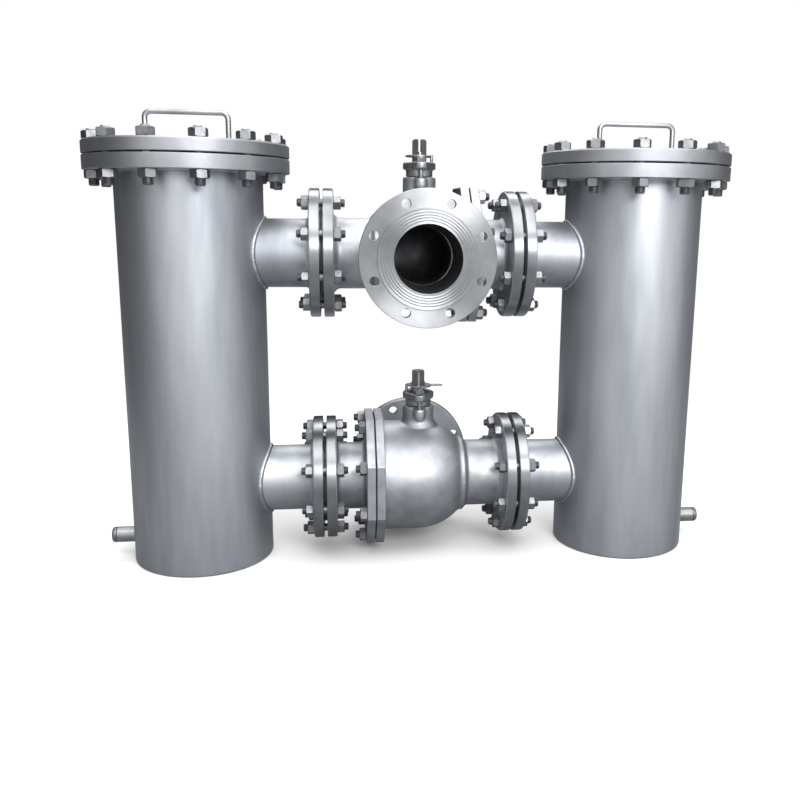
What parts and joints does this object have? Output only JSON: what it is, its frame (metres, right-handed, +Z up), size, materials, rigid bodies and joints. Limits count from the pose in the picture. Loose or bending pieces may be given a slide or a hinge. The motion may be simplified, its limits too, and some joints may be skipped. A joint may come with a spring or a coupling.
{
  "type": "duplex bag filter",
  "caption": "Twin bag filter vessels with bolted covers, joined above and below by flanged multi-way ball valves that send the flow through either vessel.",
  "frame": {"origin": "On the ground, midway between the two vessel axes", "axes": "+X from the left vessel to the right vessel, -Y the way the inlet flange faces, +Z up"},
  "size_m": [1.2529, 0.38, 0.876],
  "materials": {
    "satin_stainless": "bead-blasted stainless steel",
    "turned_stainless": "satin investment-cast and turned stainless steel",
    "fastener_steel": "bright stainless fasteners",
    "cast_stainless": "dull cast stainless steel",
    "polished_ball": "mirror-polished stainless steel",
    "basket_steel": "pickled perforated stainless sheet",
    "seat_ptfe": "white fluoropolymer",
    "packing_graphite": "pressed graphite rings",
    "gasket_fibre": "grey compressed fibre",
    "gasket_rubber": "black rubber sheet",
    "felt": "white needle felt",
    "bag_ring_plastic": "moulded white polypropylene"
  },
  "bodies": {
    "vessels_and_piping": {"left_base_plate": "satin_stainless", "left_shell": "satin_stainless", "left_mouth_flange": "satin_stainless", "left_upper_nozzle": "satin_stainless", "left_lower_nozzle": "satin_stainless", "left_drain_socket": "satin_stainless", "left_cover_gasket": "gasket_rubber", "left_basket_seat": "satin_stainless", "right_base_plate": "satin_stainless", "right_shell": "satin_stainless", "right_mouth_flange": "satin_stainless", "right_upper_nozzle": "satin_stainless", "right_lower_nozzle": "satin_stainless", "right_drain_socket": "satin_stainless", "right_cover_gasket": "gasket_rubber", "right_basket_seat": "satin_stainless", "upper_valve_body": "turned_stainless", "upper_end_cap": "turned_stainless", "upper_body_gasket": "gasket_fibre", "upper_cap_studs": "fastener_steel", "upper_seats": "seat_ptfe", "upper_packing": "packing_graphite", "upper_gland": "cast_stainless", "upper_gland_studs": "fastener_steel", "lower_valve_body": "turned_stainless", "lower_end_cap": "turned_stainless", "lower_body_gasket": "gasket_fibre", "lower_cap_studs": "fastener_steel", "lower_seats": "seat_ptfe", "lower_packing": "packing_graphite", "lower_gland": "cast_stainless", "lower_gland_studs": "fastener_steel", "cover_studs": "fastener_steel", "cover_lower_nuts": "fastener_steel", "stop_screws": "fastener_steel", "flange_gaskets": "gasket_fibre", "flange_studs": "fastener_steel", "flange_nuts": "fastener_steel"},
    "upper_valve_rotor": {"upper_ball": "polished_ball", "upper_stem": "cast_stainless", "upper_stop_plate": "cast_stainless"},
    "lower_valve_rotor": {"lower_ball": "polished_ball", "lower_stem": "cast_stainless", "lower_stop_plate": "cast_stainless"},
    "left_lid": {"left_cover": "satin_stainless", "left_cover_handle": "satin_stainless", "left_cover_top_nuts": "fastener_steel"},
    "left_basket_unit": {"left_basket": "basket_steel", "left_basket_loops": "basket_steel"},
    "left_bag_unit": {"left_filter_bag": "felt", "left_bag_ring": "bag_ring_plastic"},
    "left_plug": {"left_drain_plug": "turned_stainless"},
    "right_lid": {"right_cover": "satin_stainless", "right_cover_handle": "satin_stainless", "right_cover_top_nuts": "fastener_steel"},
    "right_basket_unit": {"right_basket": "basket_steel", "right_basket_loops": "basket_steel"},
    "right_bag_unit": {"right_filter_bag": "felt", "right_bag_ring": "bag_ring_plastic"},
    "right_plug": {"right_drain_plug": "turned_stainless"}
  },
  "joints": [
    {"name": "upper_valve_turn", "type": "hinge", "parent": "vessels_and_piping", "child": "upper_valve_rotor", "pos_m": [0, 0, 0.611], "axis": [0, 0, 1], "range_deg": [0, 90]},
    {"name": "lower_valve_turn", "type": "hinge", "parent": "vessels_and_piping", "child": "lower_valve_rotor", "pos_m": [0, 0, 0.154], "axis": [0, 0, -1], "range_deg": [0, 90]},
    {"name": "left_lid_lift", "type": "slide", "parent": "vessels_and_piping", "child": "left_lid", "axis": [0, 0, 1], "range_m": [0, 1.2]},
    {"name": "left_basket_lift", "type": "slide", "parent": "vessels_and_piping", "child": "left_basket_unit", "axis": [0, 0, 1], "range_m": [0, 0.69]},
    {"name": "left_bag_lift", "type": "slide", "parent": "vessels_and_piping", "child": "left_bag_unit", "axis": [0, 0, 1], "range_m": [0, 1.14]},
    {"name": "left_plug_out", "type": "slide", "parent": "vessels_and_piping", "child": "left_plug", "axis": [-1, 0, 0], "range_m": [0, 0.045]},
    {"name": "right_lid_lift", "type": "slide", "parent": "vessels_and_piping", "child": "right_lid", "axis": [0, 0, 1], "range_m": [0, 1.2]},
    {"name": "right_basket_lift", "type": "slide", "parent": "vessels_and_piping", "child": "right_basket_unit", "axis": [0, 0, 1], "range_m": [0, 0.69]},
    {"name": "right_bag_lift", "type": "slide", "parent": "vessels_and_piping", "child": "right_bag_unit", "axis": [0, 0, 1], "range_m": [0, 1.14]},
    {"name": "right_plug_out", "type": "slide", "parent": "vessels_and_piping", "child": "right_plug", "axis": [1, 0, 0], "range_m": [0, 0.045]}
  ],
  "couplings": [
    {"joint": "left_basket_lift", "follows": "left_lid_lift", "ratio": 0.575},
    {"joint": "left_bag_lift", "follows": "left_lid_lift", "ratio": 0.95},
    {"joint": "right_basket_lift", "follows": "right_lid_lift", "ratio": 0.575},
    {"joint": "right_bag_lift", "follows": "right_lid_lift", "ratio": 0.95}
  ]
}
